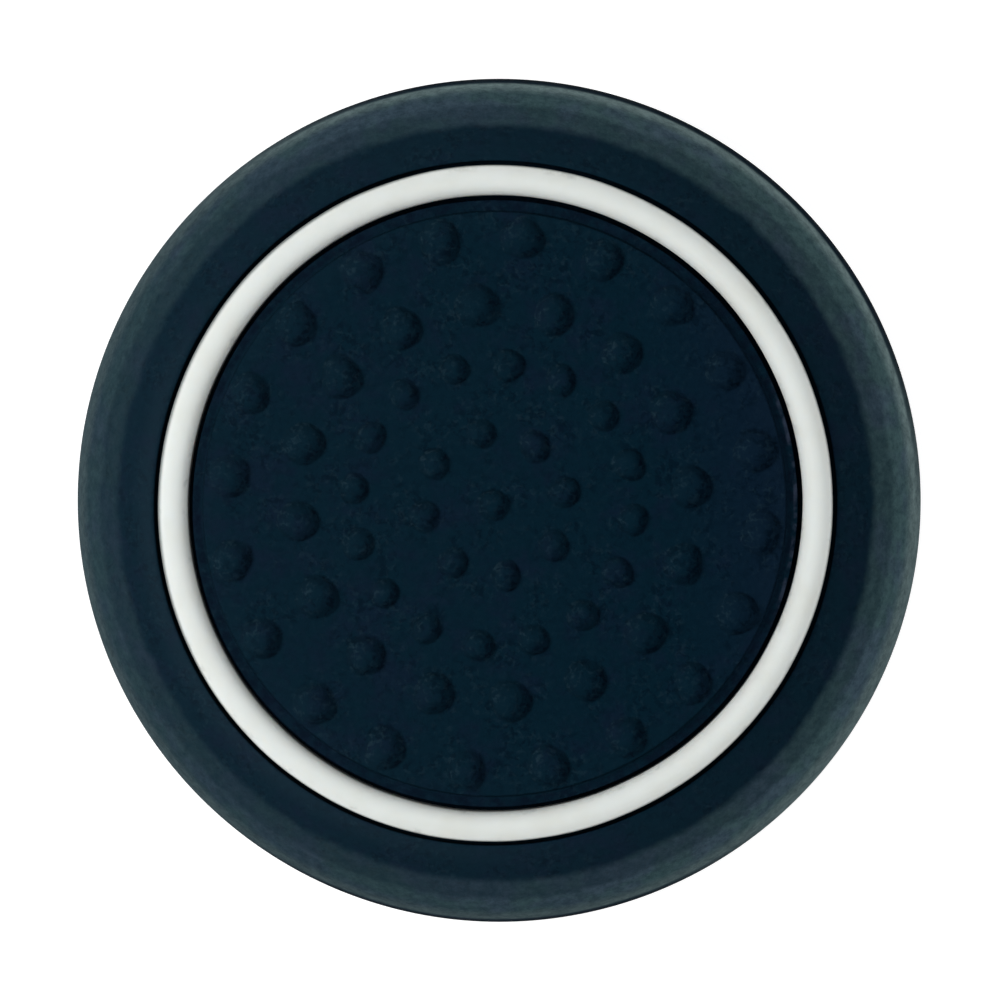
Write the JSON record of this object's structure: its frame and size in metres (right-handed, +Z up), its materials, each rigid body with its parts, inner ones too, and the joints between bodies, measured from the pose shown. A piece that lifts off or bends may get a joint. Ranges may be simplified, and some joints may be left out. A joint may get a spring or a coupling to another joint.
{
  "type": "controller thumb grip",
  "caption": "Slip-on silicone cap for a controller thumbstick: slightly crowned thumb pad with round pips, white ring inlaid in the rim, and a lipped socket underneath that snaps over the stick's head.",
  "frame": {"origin": "centre of the flat annular face that the cap stands on, level with its lowest point", "axes": "+Z up along the cap's round axis, out through the middle of the thumb pad; +X and +Y are the picture's right and up, from which the pips' angles are counted"},
  "size_m": [0.021, 0.021, 0.0086],
  "materials": {
    "dark_silicone": "satin moulded silicone, near-black blue",
    "white_silicone": "smooth satin silicone, off-white"
  },
  "bodies": {
    "root": {"cap_body": "dark_silicone", "inlay_ring": "white_silicone"}
  },
  "joints": []
}
